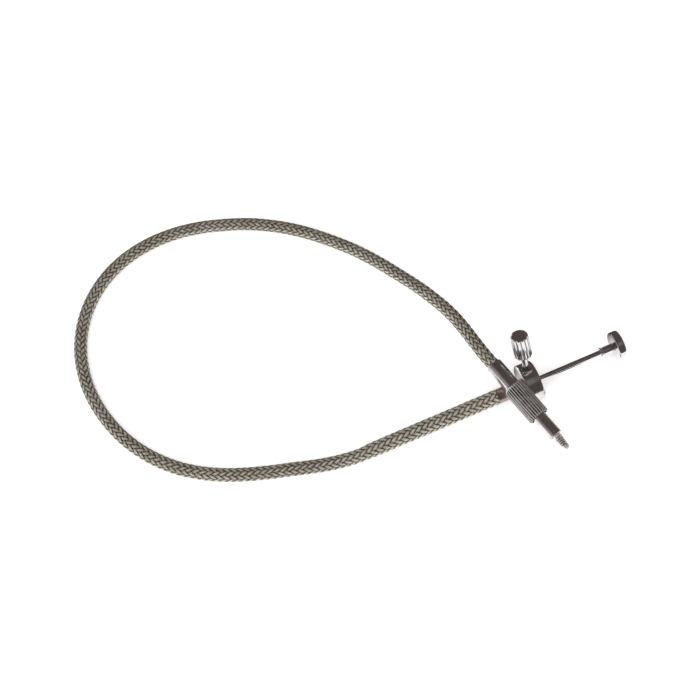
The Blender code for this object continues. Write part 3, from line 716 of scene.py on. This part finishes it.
def make_turned(metal):
    """The plain turned pieces that are seen, with small rounded edges."""
    edge = FLANGE_RADIUS - FLANGE_CORNER
    rear = -FLANGE_THICKNESS
    flange = [(0, BARREL_GRIP), (0, edge), (-FLANGE_CORNER, FLANGE_RADIUS)]
    flange += [(rear + FLANGE_CORNER, FLANGE_RADIUS), (rear, edge), (rear, FERRULE_SEAT)]
    flange += [(rear + 0.5, FERRULE_SEAT), (rear + 0.5, BARREL_GRIP)]
    name = "finger_flange"
    disc = make_plain("flange", name, "handle", HANDLE, flange, metal[name], size=0.4, sides=256)
    hole = [(1.0, SCREW_HOLE), (6.95, SCREW_HOLE), (6.95, 2.0), (7.3, 2.0), (9.0, 2.35)]
    cut_round(disc, LOCK, hole)
    guide = [(-5.2, GUIDE_BORE), (-5.2, GUIDE_RADIUS), (0.1, GUIDE_RADIUS)]
    guide += [(0.1, GUIDE_LIP_RADIUS), (0.45, GUIDE_LIP_RADIUS), (0.45, GUIDE_BORE)]
    name = "rod_guide"
    bush = make_plain("guide", name, "handle", HANDLE, guide, metal[name], size=0.12)
    cut_round(bush, LOCK, [(0.2, PAD_HOLE), (3.0, PAD_HOLE)])

    rear, face = BUTTON_REAR, BUTTON_FACE
    button = [(ROD_END + 0.1, ROD_GRIP), (rear, ROD_GRIP), (rear, BUTTON_RADIUS - 0.3)]
    button += [(rear + 0.3, BUTTON_RADIUS), (face - 0.6, BUTTON_RADIUS)]
    button += [(face - 0.15, BUTTON_RADIUS - 0.15), (face, BUTTON_RADIUS - 0.6)]
    button += [(face, BUTTON_DISH_RADIUS), (face - 0.25, BUTTON_DISH_RADIUS - 0.3)]
    button += [(face - 0.28, 1.8), (face - 0.29, 0.4)]
    place = ("plunger_button", "plunger", HANDLE)
    make_plain("button", *place, button, metal["plunger_button"], sides=160, bored=False)
    end = BUTTON_REAR - 0.1
    boss = [(end - 5.3, ROD_GRIP), (end - 5.3, BOSS_RIM_RADIUS), (end - 4.7, BOSS_RIM_RADIUS)]
    boss += [(end - 4.7, BOSS_GROOVE_RADIUS), (end - 4.3, BOSS_GROOVE_RADIUS)]
    boss += [(end - 4.3, BOSS_RADIUS), (end, BOSS_RADIUS), (end, ROD_GRIP)]
    make_plain("boss", "plunger_boss", "plunger", HANDLE, boss, metal["plunger_boss"], size=0.2)
    rod = [(ROD_START, ROD_RADIUS - 0.2), (ROD_START + 0.2, ROD_RADIUS), (ROD_END, ROD_RADIUS)]
    make_plain("rod", "plunger_rod", "plunger", HANDLE, rod, metal["plunger_rod"], bored=False)

    screw = [(SCREW_START, SCREW_RADIUS - 0.2), (SCREW_START + 0.2, SCREW_RADIUS)]
    screw += [(SCREW_END - 0.2, SCREW_RADIUS), (SCREW_END, SCREW_RADIUS - 0.2)]
    place = ("lock_screw", "thumbscrew", LOCK)
    make_plain("stem", *place, screw, metal["lock_screw"], bored=False)
    pin = [(PIN_START, PIN_RADIUS), (PIN_END - 0.15, PIN_RADIUS), (PIN_END, PIN_RADIUS - 0.15)]
    make_plain("pin", "release_pin", "pin", TIP, pin, metal["release_pin"], bored=False)

    sleeve = [(0, CABLE_SEAT), (0, SLEEVE_RADIUS - 0.15), (0.4, SLEEVE_RADIUS)]
    sleeve += [(10.5, SLEEVE_RADIUS), (10.7, SLEEVE_RADIUS - 0.2), (10.7, JOURNAL_RADIUS)]
    sleeve += [(14.5, JOURNAL_RADIUS), (14.5, CASING_SEAT), (5, CASING_SEAT), (5, CABLE_SEAT)]
    make_plain("sleeve", "rear_sleeve", "handle", TIP, sleeve, metal["rear_sleeve"])
    nose = [(14.8, NOSE_BORE), (14.8, NOSE_HUB_RADIUS), (24.6, NOSE_HUB_RADIUS)]
    nose += [(24.6, NOSE_RADIUS), (34.4, NOSE_RADIUS), (34.6, NOSE_RADIUS - 0.2)]
    nose += [(34.6, NOSE_RECESS_RADIUS), (34.3, NOSE_RECESS_RADIUS), (34.3, NECK_SEAT)]
    nose += [(33.9, NECK_SEAT), (33.9, NOSE_BORE)]
    make_plain("nose", "tip_nose", "swivel", TIP, nose, metal["tip_nose"])
    ferrule = [(-5.6, BARREL_GRIP), (-5.6, FERRULE_RADIUS), (-16.1, FERRULE_RADIUS)]
    ferrule += [(-16.3, FERRULE_RADIUS - 0.2), (-16.3, BARREL_GRIP)]
    make_plain("ferrule", "handle_ferrule", "handle", HANDLE, ferrule, metal["handle_ferrule"])


def make_thread(material):
    """The conical tip with a fine helical thread that fades out at both ends."""
    neck = NECK_START
    cone = neck + 0.8
    end = cone + CONE_LENGTH
    turn = np.arange(THREAD_SIDES) / THREAD_SIDES
    # The third numbers darken the neck with dirt and painted shade.
    stations = [(neck - 0.6, NECK_RADIUS, 0.2), (neck, NECK_RADIUS, 0.2)]
    stations += [(neck, 1.5, 0.1), (cone - 0.12, 1.5)]
    for along in np.linspace(cone, end, THREAD_STATIONS):
        share = (along - cone) / CONE_LENGTH
        crest = CONE_ROOT_RADIUS + (CONE_END_RADIUS - CONE_ROOT_RADIUS) * share
        fade = min(1, 5 * share, 5 * (1 - share))
        phase = ((along - cone) / THREAD_PITCH + turn) % 1
        groove = np.clip(1.35 * (1 - np.abs(2 * phase - 1)) - 0.35, 0, 1)
        stations.append((along, crest - THREAD_DEPTH * fade * groove))
    stations += [
        (end + 0.35, CONE_END_RADIUS - 0.07),
        (end + 0.65, CONE_END_RADIUS - 0.22),
        (end + 0.8, CONE_END_RADIUS - 0.45),
        (end + 0.8, TIP_BORE),
        (neck - 0.6, TIP_BORE),
    ]
    tip = lathe("thread", TIP, stations, THREAD_SIDES, material, bored=True, sharp=50)
    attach(tip, "swivel")
    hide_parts("threaded_tip")


CHROME = (0.77, 0.76, 0.775)
CHROME_DULL = (0.52, 0.49, 0.45)
NICKEL = (0.72, 0.70, 0.70)
NICKEL_DULL = (0.42, 0.36, 0.31)
STEEL = (0.56, 0.54, 0.51)
STEEL_DULL = (0.28, 0.25, 0.21)
# The ferrule's dark brown is painted shade: it stands for the shade and dim reflections on it.
SHADE_BROWN = (0.40, 0.335, 0.31)
SHADE_BROWN_DULL = (0.24, 0.185, 0.16)
BRASS = (0.75, 0.58, 0.30)
BRASS_DULL = (0.40, 0.27, 0.12)
# Colours in grooves and recesses, for dirt and painted shade, and of crests, for wear and a
# painted highlight.
GRIME_AND_SHADE = (0.06, 0.047, 0.038)
KNOB_GRIME_AND_SHADE = (0.25, 0.24, 0.23)
WORN_AND_HIGHLIGHT = (0.92, 0.89, 0.88)


def finish_metal():
    """Gives each rigid node its metal, and makes the finer pieces that stand for some."""
    chrome = (CHROME, CHROME_DULL, (0.08, 0.13))
    nickel = (NICKEL, NICKEL_DULL, (0.13, 0.18))
    shade_brown = (SHADE_BROWN, SHADE_BROWN_DULL, (0.30, 0.42))
    steel = (STEEL, STEEL_DULL, (0.20, 0.34))
    brass = (BRASS, BRASS_DULL, (0.20, 0.34))
    finishes = {
        "finger_flange": (HANDLE, *chrome),
        "handle_ferrule": (HANDLE, *shade_brown),
        "handle_barrel": (HANDLE, *steel),
        "rod_guide": (HANDLE, *nickel),
        "casing_end_handle": (HANDLE, *steel),
        "return_spring": (HANDLE, *steel),
        "plunger_button": (HANDLE, *chrome),
        "plunger_boss": (HANDLE, *chrome),
        "plunger_rod": (HANDLE, *chrome),
        "rod_stop": (HANDLE, *brass),
        "wire_socket": (HANDLE, *brass),
        "drive_wire_handle": (HANDLE, *steel),
        "lock_pad": (LOCK, *brass),
        "lock_screw": (LOCK, *chrome),
        "lock_knob": (LOCK, *chrome),
        "rear_sleeve": (TIP, *nickel),
        "casing_end_tip": (TIP, *steel),
        "swivel_ring": (TIP, *brass),
        "knurled_collar": (TIP, *nickel),
        "tip_nose": (TIP, *nickel),
        "threaded_tip": (TIP, *nickel),
        "release_pin": (TIP, *steel),
        "pin_head": (TIP, *brass),
        "drive_wire_tip": (TIP, *steel),
    }
    # Grooves darkened with dirt and painted shade, and crests made pale with wear and a painted
    # highlight.
    grime_and_shade_by_part = {
        "lock_knob": (0.12, 0.28, KNOB_GRIME_AND_SHADE),
        "knurled_collar": (0.06, 0.22, GRIME_AND_SHADE),
        "threaded_tip": (0.14, 0.28, GRIME_AND_SHADE),
    }
    wear_and_highlight_by_part = {"knurled_collar": (0.08, 0.60, WORN_AND_HIGHLIGHT), "threaded_tip": (0.12, 0.72, WORN_AND_HIGHLIGHT)}
    for name, (axis, clean, dull, rough) in finishes.items():
        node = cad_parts[name]
        dirt_and_shade, crest_wear_and_highlight = grime_and_shade_by_part.get(name), wear_and_highlight_by_part.get(name)
        material = turned_metal("metal_" + name, axis, clean, dull, rough, dirt_and_shade, crest_wear_and_highlight)
        for k in range(len(node.data.materials)):
            node.data.materials[k] = material
    metal = {node: bpy.data.materials["metal_" + node] for node in finishes}
    make_turned(metal)
    make_knob(metal["lock_knob"])
    make_collar(metal["knurled_collar"])
    make_thread(metal["threaded_tip"])


# ---------------------------------------------------------------- floor and light

FLOOR_SIZE = 6.0
FLOOR_GLOW = 0.5
LAMPS = {  # place, size in metres, power in watts
    "key": ((-0.95, -0.45, 1.2), 1.2, 15.0),
    "top": ((0.0, -0.35, 1.5), 1.0, 10.0),
}
OVERHEAD = Vector((0.02, -0.26, 0.96)).normalized()
PAPER_DARK = (0.87, 0.87, 0.87, 1)
PAPER_PALE = (0.91, 0.91, 0.91, 1)
# Colours of the painted dark reflections on the floor.
REFLECTED_PATCH_DARK = (0.10, 0.085, 0.08, 1)
REFLECTED_PATCH_PALE = (0.12, 0.10, 0.095, 1)
FAR_WALL = (0.085, 0.070, 0.066, 1)
WARM_WALL = (0.130, 0.094, 0.076, 1)
WINDOW = (0.46, 0.44, 0.46, 1)
LAMP_ABOVE = (0.17, 0.165, 0.165, 1)


def pale_floor():
    """A white surface that keeps the object's shadow. Two dim patches on it, behind the handle
    and beside the camera fitting, are painted dark reflections: reflections see them, the camera
    doesn't."""
    n = new_material("floor")
    n.tree.nodes.remove(n.shader)
    grain = n.noise(60, 4, 0.5)
    paper = n.add("ShaderNodeBsdfDiffuse")
    n.wire(n.mix(grain, PAPER_DARK, PAPER_PALE), paper.inputs["Color"])
    ray = n.add("ShaderNodeLightPath")
    shown = n.math("MAXIMUM", ray.outputs["Is Camera Ray"], ray.outputs["Is Glossy Ray"])
    shown = n.math("MAXIMUM", shown, ray.outputs["Is Transmission Ray"])
    glow = n.add("ShaderNodeEmission")
    n.wire(n.math("MULTIPLY", shown, FLOOR_GLOW), glow.inputs["Strength"])
    both = n.add("ShaderNodeAddShader")
    n.wire(paper.outputs[0], both.inputs[0])
    n.wire(glow.outputs[0], both.inputs[1])

    # Painted dark reflections: two dim patches, behind the handle and beside the camera fitting,
    # that only glossy rays see.
    east = n.vector("DOT_PRODUCT", n.place, (1, 0, 0), out="Value")
    north = n.vector("DOT_PRODUCT", n.place, (0, 1, 0), out="Value")
    behind = n.math("MULTIPLY", n.spread(north, 0.011, 0.020), n.spread(east, 0.004, 0.010))
    far_end = n.spread(east, 0.035, 0.040, 1.0, 0.0)
    beside = n.math("MULTIPLY", n.spread(east, 0.023, 0.028), far_end)
    beside = n.math("MULTIPLY", beside, n.spread(north, -0.045, -0.035))
    dark_reflection = n.math("MAXIMUM", behind, beside)
    dark_reflection = n.math("MULTIPLY", dark_reflection, ray.outputs["Is Glossy Ray"])
    reflected_patch = n.add("ShaderNodeBsdfDiffuse")
    n.wire(n.mix(grain, REFLECTED_PATCH_DARK, REFLECTED_PATCH_PALE), reflected_patch.inputs["Color"])
    floor_look = n.add("ShaderNodeMixShader")
    n.wire(dark_reflection, floor_look.inputs["Fac"])
    n.wire(both.outputs[0], floor_look.inputs[1])
    n.wire(reflected_patch.outputs[0], floor_look.inputs[2])
    n.wire(floor_look.outputs[0], n.tree.nodes["Material Output"].inputs["Surface"])
    half = FLOOR_SIZE / 2
    corners = [(-half, -half, 0), (half, -half, 0), (half, half, 0), (-half, half, 0)]
    floor = add_mesh("floor", corners, [(0, 1, 2, 3)], n.material)
    floor.location.z = -0.0001


def light_room():
    """White where the camera looks past the floor. Everything but the camera sees a dim room
    with a wide window on the left and a small light overhead, painted in the world."""
    world = bpy.data.worlds.new("room")
    world.use_nodes = True
    world.node_tree.nodes.clear()
    n = Nodes(world.node_tree, "Generated")
    east = n.vector("DOT_PRODUCT", n.place, (1, 0, 0), out="Value")
    window = n.spread(n.math("MULTIPLY", east, -1.0), 0.45, 1.15)
    overhead = n.vector("DOT_PRODUCT", n.place, tuple(OVERHEAD), out="Value")
    overhead = n.spread(overhead, 0.93, 0.995)
    walls = n.mix(n.spread(east, 0.12, 0.6), FAR_WALL, WARM_WALL)
    walls = n.mix(window, walls, WINDOW)
    walls = n.mix(overhead, walls, LAMP_ABOVE)
    room = n.add("ShaderNodeBackground")
    n.wire(walls, room.inputs["Color"])
    plain = n.add("ShaderNodeBackground")
    plain.inputs["Color"].default_value = (1, 1, 1, 1)
    ray = n.add("ShaderNodeLightPath")
    both = n.add("ShaderNodeMixShader")
    n.wire(ray.outputs["Is Camera Ray"], both.inputs["Fac"])
    n.wire(room.outputs[0], both.inputs[1])
    n.wire(plain.outputs[0], both.inputs[2])
    out = n.add("ShaderNodeOutputWorld")
    n.wire(both.outputs[0], out.inputs["Surface"])
    bpy.context.scene.world = world

    for name, (place, size, power) in LAMPS.items():
        data = bpy.data.lights.new(name, "AREA")
        data.size = size
        data.energy = power
        lamp = bpy.data.objects.new(name, data)
        lamp.visible_glossy = False
        bpy.context.scene.collection.objects.link(lamp)
        lamp.location = place
        lamp.rotation_euler = (Vector(place) - LOOK_AT).to_track_quat("Z", "Y").to_euler()


place_camera()
weave_cable()
finish_metal()
pale_floor()
light_room()

bpy.context.scene.view_settings.view_transform = "Standard"
